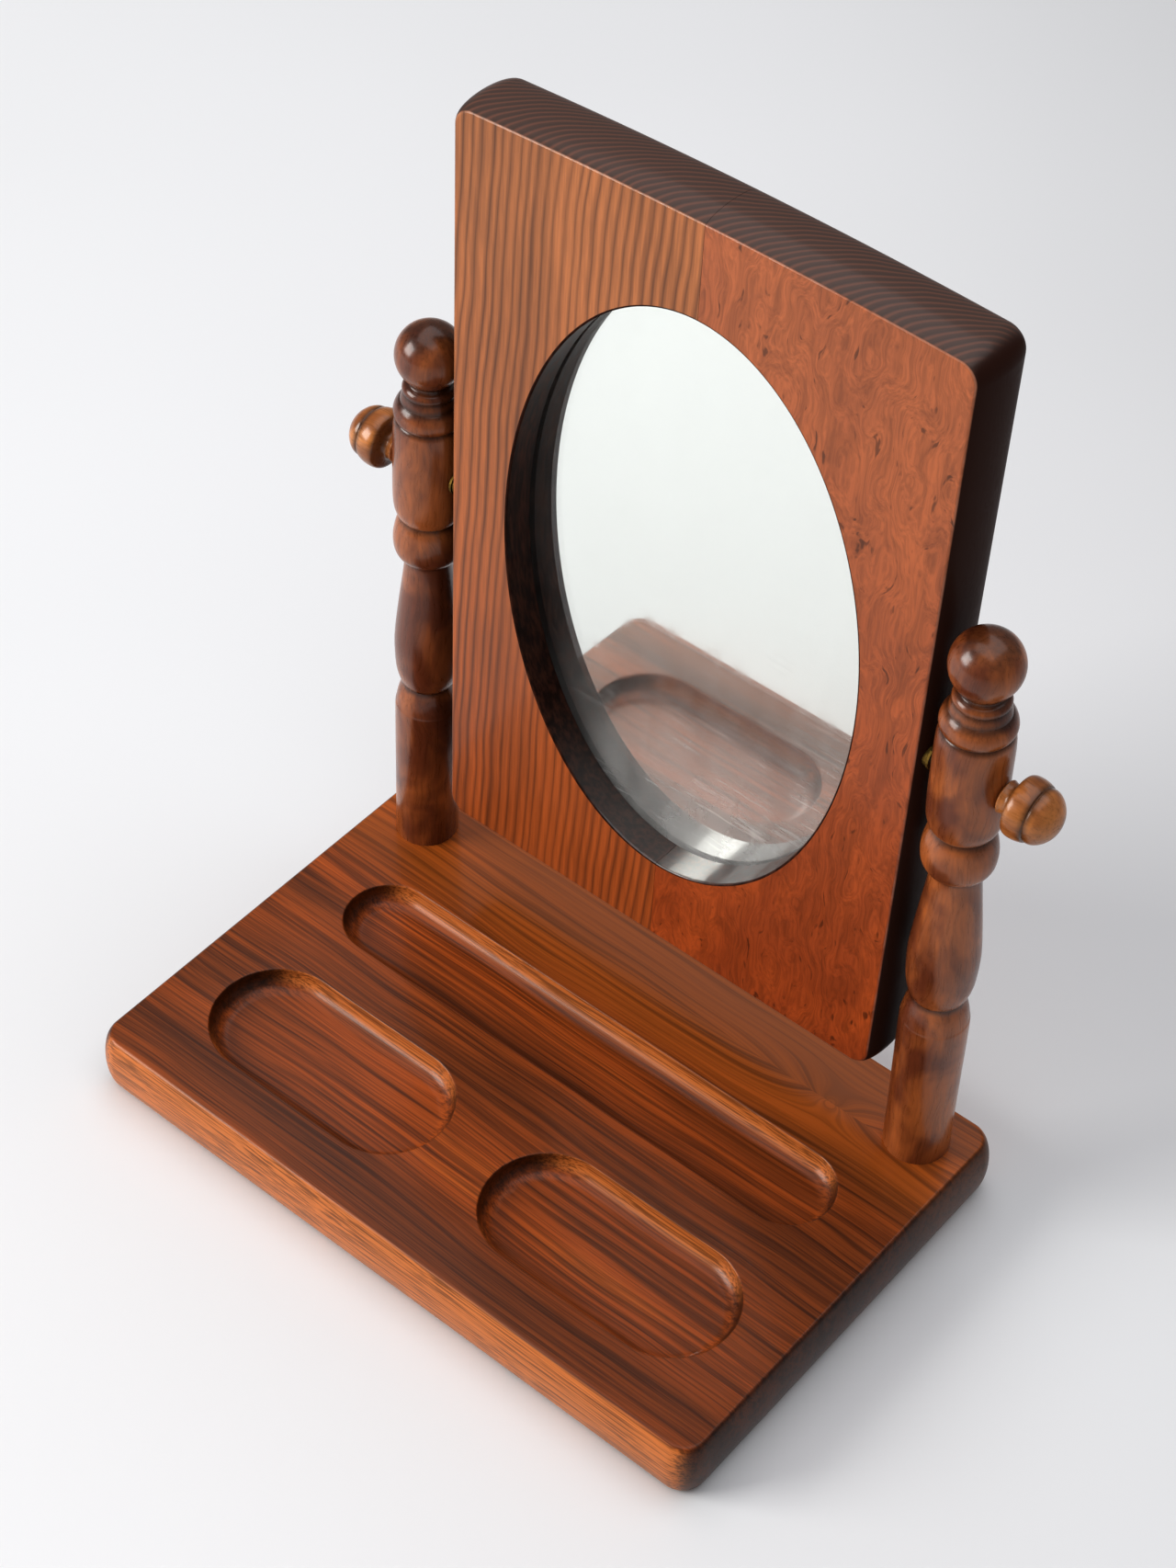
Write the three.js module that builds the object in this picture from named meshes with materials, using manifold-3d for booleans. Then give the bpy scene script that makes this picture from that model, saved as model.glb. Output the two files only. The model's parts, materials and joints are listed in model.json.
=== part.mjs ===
// Wooden shaving stand with a swing mirror: a tray board with three routed recesses, two turned
// posts, and an oval mirror in a thick board frame that tilts between the posts on two clamp knobs.
// Millimetres, +Z up, +X to the right, -Y towards the user. The origin is under the middle of the tray.

import * as THREE from 'three';
import { mergeVertices } from 'three/addons/utils/BufferGeometryUtils.js';
import Module from 'manifold-3d';

// Driving dimensions

const FELT_THICKNESS = 1;
const FELT_INSET = 3;

const BOARD_WIDTH = 285;
const BOARD_DEPTH = 183;
const BOARD_THICKNESS = 26;
const BOARD_CORNER_RADIUS = 11;
const BOARD_BULGE = 4;
const BOARD_BULGE_HEIGHT = 12.5;

const RECESS_DEPTH = 8;
const RECESS_COVE = 6.5;
const LONG_RECESS = { x: 0, y: 22.5, length: 228, width: 35 };
const LEFT_RECESS = { x: -66.5, y: -42, length: 106, width: 50 };
const RIGHT_RECESS = { x: 66.5, y: -42, length: 106, width: 50 };

const POST_X = 119;
const POST_Y = 69.5;
const PIVOT_ABOVE_BOARD = 189.5;
const POST_PIVOT_RADIUS = 13.1;
const POST_LEAN = { left: THREE.MathUtils.degToRad(1.9), right: 0 };

const BOLT_RADIUS = 3;
const BOLT_DEPTH_IN_KNOB = 12;
const RUNNING_CLEARANCE = 0.08;
const FIXED_CLEARANCE = 0.05;
const TOUCH_GAP = 0.3;

const INSERT_RADIUS = 4.5;
const INSERT_LENGTH = 11;
const INSERT_HOLE_EXTRA = 1;
const SPACER_RADIUS = 5;

const MIRROR_TILT = THREE.MathUtils.degToRad(2);
const FRAME_TOP_WIDTH = 204.6;
const FRAME_BOTTOM_WIDTH = 200.6;
const FRAME_ABOVE_PIVOT = 162;
const FRAME_BELOW_PIVOT = 155.1;
const FRAME_THICKNESS = 26;
const FRAME_FRONT = 7;
const FRAME_CORNER_RADIUS = 10;
const FRAME_TOP_CROWN = 2.3;
const FRAME_BULGE = 3.3;
const FRAME_BULGE_DEPTH = 12.5;
const GLUE_LINE_GAP = 0.1;

const OVAL_HALF_WIDTH = 74.3;
const OVAL_HALF_HEIGHT = 120;
const OVAL_RAISE = 3.8;
const WELL_DEPTH = 12;
const REBATE_LEDGE = 8;
const GLASS_MARGIN = 7.4;
const GLASS_THICKNESS = 3;
const BACKING_THICKNESS = 3;

const BRAD_RADIUS = 0.8;
const BRAD_LENGTH = 10;
const BRAD_DEPTH = 5;
const BRAD_ANGLES = { top_right: 40, top_left: 140, bottom_left: 220, bottom_right: 320 };

const SCREW_RADIUS = 2;
const SCREW_LENGTH_IN_POST = 22;
const SCREW_HEAD_RADIUS = 4;
const SCREW_HEAD_HEIGHT = 3;
const COUNTERBORE_RADIUS = 4.6;
const COUNTERBORE_DEPTH = 6;

// Derived sizes

const BOLT_BORE_RADIUS = BOLT_RADIUS + RUNNING_CLEARANCE;
const BOARD_BOTTOM = FELT_THICKNESS;
const BOARD_TOP = BOARD_BOTTOM + BOARD_THICKNESS;
const PIVOT_Z = BOARD_TOP + PIVOT_ABOVE_BOARD;
const PIVOT_DRIFT = {
  left: PIVOT_ABOVE_BOARD * Math.tan(POST_LEAN.left),
  right: -PIVOT_ABOVE_BOARD * Math.tan(POST_LEAN.right),
};
const MIRROR_X = (PIVOT_DRIFT.left + PIVOT_DRIFT.right) / 2;
const POST_HALF_SPAN = POST_X - (PIVOT_DRIFT.left - PIVOT_DRIFT.right) / 2;
const POST_OUTER_X = POST_HALF_SPAN + POST_PIVOT_RADIUS;
const POST_INNER_X = POST_HALF_SPAN - POST_PIVOT_RADIUS;
const FRAME_SHOULDER = FRAME_ABOVE_PIVOT - FRAME_TOP_CROWN;
const FRAME_BACK = FRAME_FRONT - FRAME_THICKNESS;
const LEDGE_LEVEL = FRAME_FRONT - WELL_DEPTH;
const GLASS_BACK = LEDGE_LEVEL - TOUCH_GAP - GLASS_THICKNESS;
const BACKING_BACK = GLASS_BACK - TOUCH_GAP - BACKING_THICKNESS;
const BRAD_LEVEL = BACKING_BACK - TOUCH_GAP - BRAD_RADIUS;
const FRAME_SIDE_X = THREE.MathUtils.mapLinear(
  0, -FRAME_BELOW_PIVOT, FRAME_SHOULDER, FRAME_BOTTOM_WIDTH / 2, FRAME_TOP_WIDTH / 2);

const SIDES = { left: -1, right: 1 };
const QUARTER_TURN = Math.PI / 2;
const CUT_MARGIN = 5;
const CURVE_SEGMENTS = 8;
const EDGE_SEGMENTS = 3;
const OVAL_SEGMENTS = 52;
const POST_SEGMENTS = 24;
const KNOB_SEGMENTS = 24;
const PIN_SEGMENTS = 20;

// Finishes

const boardWood = () => new THREE.MeshStandardMaterial({ color: 0x7a3d1d, roughness: 0.4 });
const frameWood = () => new THREE.MeshStandardMaterial({ color: 0xb0693c, roughness: 0.42 });
const figuredWood = () => new THREE.MeshStandardMaterial({ color: 0xa8552f, roughness: 0.42 });
const postWood = () => new THREE.MeshStandardMaterial({ color: 0x6b3a1e, roughness: 0.35 });
const knobWood = () => new THREE.MeshStandardMaterial({ color: 0xa9652e, roughness: 0.32 });
const brass = () => new THREE.MeshStandardMaterial({ color: 0xc9a24d, roughness: 0.3, metalness: 1 });
const steel = () => new THREE.MeshStandardMaterial({ color: 0xb8bbc0, roughness: 0.35, metalness: 1 });
const silvered = () => new THREE.MeshStandardMaterial({ color: 0xf2f5f5, roughness: 0.03, metalness: 1 });
const hardboard = () => new THREE.MeshStandardMaterial({ color: 0x7b5b3c, roughness: 0.85 });
const felt = () => new THREE.MeshStandardMaterial({ color: 0x2f4a35, roughness: 1 });

// Solid operations

const wasm = await Module();
wasm.setup();

function toSolid(geometry) {
  const bare = geometry.index ? geometry.toNonIndexed() : geometry.clone();
  bare.deleteAttribute('normal');
  bare.deleteAttribute('uv');
  const merged = mergeVertices(bare, 1e-4);
  const vertProperties = new Float32Array(merged.attributes.position.array);
  const triVerts = new Uint32Array(merged.index.array);
  return new wasm.Manifold(new wasm.Mesh({ numProp: 3, vertProperties, triVerts }));
}

function toGeometry(solid) {
  const mesh = solid.getMesh();
  const geometry = new THREE.BufferGeometry();
  geometry.setAttribute('position', new THREE.BufferAttribute(new Float32Array(mesh.vertProperties), 3));
  geometry.setIndex(new THREE.BufferAttribute(new Uint32Array(mesh.triVerts), 1));
  geometry.computeVertexNormals();
  return geometry;
}

function cut(geometry, cutters) {
  return toGeometry(cutters.reduce((solid, cutter) => solid.subtract(toSolid(cutter)), toSolid(geometry)));
}

// Outlines and simple solids

function roundedRectangle(width, height, radius) {
  const x = width / 2;
  const y = height / 2;
  const shape = new THREE.Shape();
  shape.absarc(x - radius, y - radius, radius, 0, QUARTER_TURN);
  shape.absarc(radius - x, y - radius, radius, QUARTER_TURN, 2 * QUARTER_TURN);
  shape.absarc(radius - x, radius - y, radius, 2 * QUARTER_TURN, 3 * QUARTER_TURN);
  shape.absarc(x - radius, radius - y, radius, 3 * QUARTER_TURN, 4 * QUARTER_TURN);
  return shape;
}

function stadium(length, width) {
  const radius = width / 2;
  const shape = new THREE.Shape();
  shape.absarc(length / 2 - radius, 0, radius, -QUARTER_TURN, QUARTER_TURN);
  shape.absarc(radius - length / 2, 0, radius, QUARTER_TURN, 3 * QUARTER_TURN);
  return shape;
}

function ellipse(halfWidth, halfHeight) {
  const shape = new THREE.Shape();
  shape.absellipse(0, 0, halfWidth, halfHeight, 0, 4 * QUARTER_TURN);
  return shape;
}

// An outline of the frame: sides that spread a little upwards, eased corners and a crowned top.
function frameOutline() {
  const radius = FRAME_CORNER_RADIUS;
  const lean = (FRAME_TOP_WIDTH - FRAME_BOTTOM_WIDTH) / 2 / (FRAME_SHOULDER + FRAME_BELOW_PIVOT) * radius;
  const top = FRAME_TOP_WIDTH / 2;
  const bottom = FRAME_BOTTOM_WIDTH / 2;
  const shape = new THREE.Shape();
  shape.moveTo(radius - bottom, -FRAME_BELOW_PIVOT);
  shape.lineTo(bottom - radius, -FRAME_BELOW_PIVOT);
  shape.quadraticCurveTo(bottom, -FRAME_BELOW_PIVOT, bottom + lean, radius - FRAME_BELOW_PIVOT);
  shape.lineTo(top - lean, FRAME_SHOULDER - radius);
  shape.quadraticCurveTo(top, FRAME_SHOULDER, top - radius, FRAME_SHOULDER);
  shape.quadraticCurveTo(0, FRAME_SHOULDER + 2 * FRAME_TOP_CROWN, radius - top, FRAME_SHOULDER);
  shape.quadraticCurveTo(-top, FRAME_SHOULDER, lean - top, FRAME_SHOULDER - radius);
  shape.lineTo(-bottom - lean, radius - FRAME_BELOW_PIVOT);
  shape.quadraticCurveTo(-bottom, -FRAME_BELOW_PIVOT, radius - bottom, -FRAME_BELOW_PIVOT);
  return shape;
}

function plate(shape, from, to, curveSegments = CURVE_SEGMENTS) {
  const geometry = new THREE.ExtrudeGeometry(shape, { depth: to - from, bevelEnabled: false, curveSegments });
  return geometry.translate(0, 0, from);
}

// A plate whose outline rounds in by size over the given thickness at both ends.
function roundedPlate(shape, from, to, size, thickness) {
  const geometry = new THREE.ExtrudeGeometry(shape, {
    depth: to - from - 2 * thickness,
    bevelSize: size,
    bevelOffset: -size,
    bevelThickness: thickness,
    bevelSegments: EDGE_SEGMENTS,
    curveSegments: CURVE_SEGMENTS,
  });
  return geometry.translate(0, 0, from + thickness);
}

function turned(profile, segments) {
  return new THREE.LatheGeometry(profile.map(([radius, height]) => new THREE.Vector2(radius, height)), segments)
    .rotateX(QUARTER_TURN);
}

// A round bar along X between two stations.
function barAlongX(radius, fromX, toX, segments = PIN_SEGMENTS) {
  return new THREE.CylinderGeometry(radius, radius, Math.abs(toX - fromX), segments)
    .rotateZ(QUARTER_TURN)
    .translate((fromX + toX) / 2, 0, 0);
}

function barAlongZ(radius, fromZ, toZ) {
  return new THREE.CylinderGeometry(radius, radius, toZ - fromZ, PIN_SEGMENTS)
    .rotateX(QUARTER_TURN)
    .translate(0, 0, (fromZ + toZ) / 2);
}

function sleeveAlongX(outer, inner, fromX, toX) {
  return cut(barAlongX(outer, fromX, toX), [barAlongX(inner, fromX - CUT_MARGIN, toX + CUT_MARGIN)]);
}

// Frame pieces are drawn lying on their backs, with the front upwards, then stood up to face the user.
function stoodUp(geometry) {
  return geometry.rotateX(QUARTER_TURN);
}

function named(name, geometry, material) {
  const mesh = new THREE.Mesh(geometry, material);
  mesh.name = name;
  return mesh;
}

// Tray

function recessCutter({ x, y, length, width }) {
  const floor = BOARD_TOP - RECESS_DEPTH;
  const above = BOARD_TOP + RECESS_DEPTH;
  return roundedPlate(stadium(length, width), floor, above, RECESS_COVE, RECESS_COVE).translate(x, y, 0);
}

function screwCutters(side) {
  const shank = barAlongZ(SCREW_RADIUS + FIXED_CLEARANCE, 0, BOARD_TOP + CUT_MARGIN);
  const head = barAlongZ(COUNTERBORE_RADIUS, 0, BOARD_BOTTOM + COUNTERBORE_DEPTH);
  return [shank, head].map((cutter) => cutter.translate(side * POST_X, POST_Y, 0));
}

function baseBoard() {
  const outline = roundedRectangle(BOARD_WIDTH, BOARD_DEPTH, BOARD_CORNER_RADIUS);
  const board = roundedPlate(outline, BOARD_BOTTOM, BOARD_TOP, BOARD_BULGE, BOARD_BULGE_HEIGHT);
  const cutters = [LONG_RECESS, LEFT_RECESS, RIGHT_RECESS].map(recessCutter);
  cutters.push(...screwCutters(SIDES.left), ...screwCutters(SIDES.right));
  return named('base_board', cut(board, cutters), boardWood());
}

function baseFelt() {
  const inset = FELT_INSET + BOARD_BULGE;
  const width = BOARD_WIDTH - 2 * inset;
  const depth = BOARD_DEPTH - 2 * inset;
  const outline = roundedRectangle(width, depth, BOARD_CORNER_RADIUS - inset / 2);
  return named('base_felt', plate(outline, 0, FELT_THICKNESS), felt());
}

// Turned posts

// Radius and height above the board of the post below its pivot barrel, from the foot upwards.
const POST_LOWER_TURNING = [
  [0, -CUT_MARGIN], [12.3, -CUT_MARGIN], [12.4, 66], [12, 72.5], [11, 78], [9.5, 82.4],
  [11.2, 86.5], [12.4, 95], [12.6, 103], [11.8, 115], [10.3, 129], [9, 142],
  [9, 147], [11.4, 148.8], [12.8, 153], [12.9, 157.5], [12.1, 162.2], [10.4, 166],
];

// The same for the pivot barrel, the shoulder bead and the neck ring.
const POST_UPPER_TURNING = [
  [11.5, 167.5], [12.7, 172], [POST_PIVOT_RADIUS, 178], [POST_PIVOT_RADIUS, 206], [11.8, 211.6],
  [12.7, 213.8], [12.6, 216.6], [10.8, 220], [9.6, 223], [9.7, 225.8], [7.6, 227.9],
];

const BALL_RADIUS = 12.4;
const BALL_ABOVE_BOARD = 239.4;
const BALL_STEPS = 9;
const BALL_NECK_RADIUS = 7.8;

function ballTurning() {
  const start = Math.acos(BALL_NECK_RADIUS / BALL_RADIUS);
  return Array.from({ length: BALL_STEPS + 1 }, (_, step) => {
    const angle = THREE.MathUtils.lerp(-start, QUARTER_TURN, step / BALL_STEPS);
    const radius = step === BALL_STEPS ? 0 : BALL_RADIUS * Math.cos(angle);
    return [radius, BALL_ABOVE_BOARD + BALL_RADIUS * Math.sin(angle)];
  });
}

// The post leans inwards about the middle of its foot, and the foot is sawn flat to sit on the board.
function post(name, side) {
  const turning = turned([...POST_LOWER_TURNING, ...POST_UPPER_TURNING, ...ballTurning()], POST_SEGMENTS)
    .rotateY(-side * POST_LEAN[name]);
  const sawnOff = new THREE.BoxGeometry(4 * POST_PIVOT_RADIUS, 4 * POST_PIVOT_RADIUS, 4 * CUT_MARGIN)
    .translate(0, 0, -2 * CUT_MARGIN);
  const pivotBore = barAlongX(BOLT_BORE_RADIUS, -2 * POST_PIVOT_RADIUS, 2 * POST_PIVOT_RADIUS)
    .translate(PIVOT_DRIFT[name], 0, PIVOT_ABOVE_BOARD);
  const pilotHole = barAlongZ(SCREW_RADIUS + FIXED_CLEARANCE, -CUT_MARGIN, SCREW_LENGTH_IN_POST + TOUCH_GAP);
  const mesh = named(`${name}_post`, cut(turning, [sawnOff, pivotBore, pilotHole]), postWood());
  mesh.position.set(side * POST_X, POST_Y, BOARD_TOP);
  return mesh;
}

function postScrew(name, side) {
  const seat = BOARD_BOTTOM + COUNTERBORE_DEPTH - TOUCH_GAP;
  const profile = [
    [0, seat - SCREW_HEAD_HEIGHT], [SCREW_HEAD_RADIUS * 0.75, seat - SCREW_HEAD_HEIGHT],
    [SCREW_HEAD_RADIUS, seat - SCREW_HEAD_HEIGHT * 0.6], [SCREW_HEAD_RADIUS, seat], [SCREW_RADIUS, seat],
    [SCREW_RADIUS, BOARD_TOP + SCREW_LENGTH_IN_POST - 2 * SCREW_RADIUS], [0, BOARD_TOP + SCREW_LENGTH_IN_POST],
  ];
  const mesh = named(`${name}_post_screw`, turned(profile, PIN_SEGMENTS), steel());
  mesh.position.set(side * POST_X, POST_Y, 0);
  return mesh;
}

// Clamp knobs: each is a turned knob glued on the end of a threaded bolt.

// Radius and distance outwards from the post, from the stem to the top of the domed head.
const KNOB_TURNING = [
  [0, 0], [6, 0], [5.7, 2.4], [7, 4.2], [9.9, 4.7], [11, 7.4], [10.7, 11],
  [9.7, 12.8], [10, 13.5], [9.4, 15.8], [7.6, 18.4], [4.2, 20.5], [0, 21.1],
];

function knob(name, side) {
  const bore = barAlongX(BOLT_RADIUS + FIXED_CLEARANCE, -CUT_MARGIN, BOLT_DEPTH_IN_KNOB + TOUCH_GAP);
  const head = turned(KNOB_TURNING, KNOB_SEGMENTS).rotateY(QUARTER_TURN);
  const mesh = named(`${name}_knob`, cut(head, [bore]), knobWood());
  mesh.position.set(MIRROR_X + side * (POST_OUTER_X + TOUCH_GAP), POST_Y, PIVOT_Z);
  mesh.rotation.z = side < 0 ? 2 * QUARTER_TURN : 0;
  return mesh;
}

function pivotBolt(name, side) {
  const inner = FRAME_SIDE_X - INSERT_LENGTH + TOUCH_GAP;
  const outer = POST_OUTER_X + BOLT_DEPTH_IN_KNOB;
  const mesh = named(`${name}_pivot_bolt`, barAlongX(BOLT_RADIUS, side * inner, side * outer), steel());
  mesh.position.set(MIRROR_X, POST_Y, PIVOT_Z);
  return mesh;
}

// Mirror frame, in a group whose origin is on the pivot axis, midway between the posts

function frameBlank() {
  return roundedPlate(frameOutline(), FRAME_BACK, FRAME_FRONT, FRAME_BULGE, FRAME_BULGE_DEPTH);
}

function ovalPlate(margin, from, to) {
  const outline = ellipse(OVAL_HALF_WIDTH + margin, OVAL_HALF_HEIGHT + margin);
  return plate(outline, from, to, OVAL_SEGMENTS).translate(0, OVAL_RAISE, 0);
}

// A brad lies across the rebate wall, along the oval's normal at the given angle.
function bradAt(degrees, radius, depth) {
  const angle = THREE.MathUtils.degToRad(degrees);
  const halfWidth = OVAL_HALF_WIDTH + REBATE_LEDGE;
  const halfHeight = OVAL_HALF_HEIGHT + REBATE_LEDGE;
  const normal = Math.atan2(Math.sin(angle) / halfHeight, Math.cos(angle) / halfWidth);
  return barAlongX(radius, BRAD_DEPTH - BRAD_LENGTH, depth, PIN_SEGMENTS / 2)
    .rotateZ(normal)
    .translate(halfWidth * Math.cos(angle), OVAL_RAISE + halfHeight * Math.sin(angle), BRAD_LEVEL);
}

function bradHole(degrees) {
  return bradAt(degrees, BRAD_RADIUS + FIXED_CLEARANCE, BRAD_DEPTH + TOUCH_GAP);
}

function frameBoards() {
  const holeEnd = FRAME_SIDE_X - INSERT_LENGTH - INSERT_HOLE_EXTRA;
  const insertHole = (side) => barAlongX(
    INSERT_RADIUS + FIXED_CLEARANCE, side * holeEnd, side * (FRAME_SIDE_X + CUT_MARGIN));
  const cutters = [
    ovalPlate(0, FRAME_BACK - CUT_MARGIN, FRAME_FRONT + CUT_MARGIN),
    ovalPlate(REBATE_LEDGE, FRAME_BACK - CUT_MARGIN, LEDGE_LEVEL),
    insertHole(SIDES.left),
    insertHole(SIDES.right),
    ...Object.values(BRAD_ANGLES).map(bradHole),
  ];
  const whole = toSolid(cut(frameBlank(), cutters));
  const half = (side) => {
    const far = 2 * FRAME_TOP_WIDTH;
    const box = new THREE.BoxGeometry(far, 2 * far, far);
    return box.translate(side * (far + GLUE_LINE_GAP) / 2, 0, 0);
  };
  const board = (side) => stoodUp(toGeometry(whole.intersect(toSolid(half(side)))));
  return [
    named('frame_left_board', board(SIDES.left), frameWood()),
    named('frame_right_board', board(SIDES.right), figuredWood()),
  ];
}

function glassAndBacking() {
  const glass = ovalPlate(GLASS_MARGIN, GLASS_BACK, GLASS_BACK + GLASS_THICKNESS);
  const backing = ovalPlate(GLASS_MARGIN, BACKING_BACK, BACKING_BACK + BACKING_THICKNESS);
  return [
    named('mirror_glass', stoodUp(glass), silvered()),
    named('backing_board', stoodUp(backing), hardboard()),
  ];
}

function brads() {
  return Object.entries(BRAD_ANGLES).map(
    ([place, degrees]) => named(`brad_${place}`, stoodUp(bradAt(degrees, BRAD_RADIUS, BRAD_DEPTH)), steel()));
}

function insert(name, side) {
  const outer = side * FRAME_SIDE_X;
  const inner = side * (FRAME_SIDE_X - INSERT_LENGTH);
  const sleeve = sleeveAlongX(INSERT_RADIUS, BOLT_BORE_RADIUS, Math.min(outer, inner), Math.max(outer, inner));
  return named(`${name}_thread_insert`, sleeve, brass());
}

function spacer(name, side) {
  const inner = side * (FRAME_SIDE_X + TOUCH_GAP);
  const outer = side * (POST_INNER_X - TOUCH_GAP);
  const sleeve = sleeveAlongX(SPACER_RADIUS, BOLT_BORE_RADIUS, Math.min(outer, inner), Math.max(outer, inner));
  return named(`${name}_spacer`, sleeve, brass());
}

function tiltingMirror() {
  const group = new THREE.Group();
  group.position.set(MIRROR_X, POST_Y, PIVOT_Z);
  group.rotation.x = -MIRROR_TILT;
  group.add(...frameBoards(), ...glassAndBacking(), ...brads());
  Object.entries(SIDES).forEach(([name, side]) => group.add(insert(name, side), spacer(name, side)));
  return group;
}

const shavingStand = new THREE.Group();
shavingStand.add(baseBoard(), baseFelt(), tiltingMirror());
Object.entries(SIDES).forEach(([name, side]) => {
  shavingStand.add(post(name, side), postScrew(name, side), knob(name, side), pivotBolt(name, side));
});

export default shavingStand;
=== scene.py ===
"""The looks of the shaving stand with its swing mirror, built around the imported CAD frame.

Sizes are written in millimetres and turned into metres where a mesh is made.
"""

import json
import math

import bmesh
import bpy
from mathutils import Matrix, Vector, noise


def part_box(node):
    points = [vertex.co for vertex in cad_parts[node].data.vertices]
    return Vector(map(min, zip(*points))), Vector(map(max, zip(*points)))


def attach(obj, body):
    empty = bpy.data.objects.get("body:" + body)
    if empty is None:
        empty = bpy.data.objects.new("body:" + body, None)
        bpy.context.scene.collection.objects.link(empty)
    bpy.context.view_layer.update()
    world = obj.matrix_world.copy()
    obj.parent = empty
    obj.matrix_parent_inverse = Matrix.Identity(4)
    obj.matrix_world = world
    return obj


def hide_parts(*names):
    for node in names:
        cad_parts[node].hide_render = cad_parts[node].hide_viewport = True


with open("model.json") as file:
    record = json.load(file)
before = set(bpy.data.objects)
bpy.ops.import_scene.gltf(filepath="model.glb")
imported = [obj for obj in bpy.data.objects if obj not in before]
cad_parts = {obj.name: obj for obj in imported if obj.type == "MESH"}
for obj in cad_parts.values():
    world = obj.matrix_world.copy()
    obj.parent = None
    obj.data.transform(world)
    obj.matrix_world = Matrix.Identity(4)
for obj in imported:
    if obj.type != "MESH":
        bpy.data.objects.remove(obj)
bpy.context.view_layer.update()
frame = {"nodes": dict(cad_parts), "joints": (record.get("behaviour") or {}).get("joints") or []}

MM = 0.001


def millimetres(node):
    """The lowest and highest corner of a CAD node."""
    low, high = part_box(node)
    return low / MM, high / MM


tray_top = millimetres("base_board")[1].z


# Camera, fitted to the photograph: its place and direction, with a lens for the long side of the picture

CAMERA_PLACE = (464.0, -552.0, 944.5)
CAMERA_AZIMUTH = math.radians(38.92)
CAMERA_ELEVATION = math.radians(46.42)
CAMERA_ROLL = math.radians(1.35)
SENSOR_SIZE = 36.0
LENS_PER_SENSOR = 2.0188


def make_camera():
    data = bpy.data.cameras.new("camera")
    data.sensor_width = SENSOR_SIZE
    data.lens = SENSOR_SIZE * LENS_PER_SENSOR
    camera = bpy.data.objects.new("camera", data)
    bpy.context.scene.collection.objects.link(camera)
    back = Vector((
        math.sin(CAMERA_AZIMUTH) * math.cos(CAMERA_ELEVATION),
        -math.cos(CAMERA_AZIMUTH) * math.cos(CAMERA_ELEVATION),
        math.sin(CAMERA_ELEVATION),
    ))
    level_right = Vector((0, 0, 1)).cross(back).normalized()
    level_up = back.cross(level_right)
    right = level_right * math.cos(CAMERA_ROLL) + level_up * math.sin(CAMERA_ROLL)
    up = back.cross(right)
    turn = Matrix((right, up, back)).transposed().to_4x4()
    camera.matrix_world = Matrix.Translation(Vector(CAMERA_PLACE) * MM) @ turn
    bpy.context.scene.camera = camera


make_camera()


# Material graphs


def colour(hexadecimal):
    """A screen colour such as "8a4a22" as linear RGBA."""
    channels = [int(hexadecimal[i:i + 2], 16) / 255 for i in (0, 2, 4)]
    return (*[c / 12.92 if c <= 0.04045 else ((c + 0.055) / 1.055) ** 2.4 for c in channels], 1.0)


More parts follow.
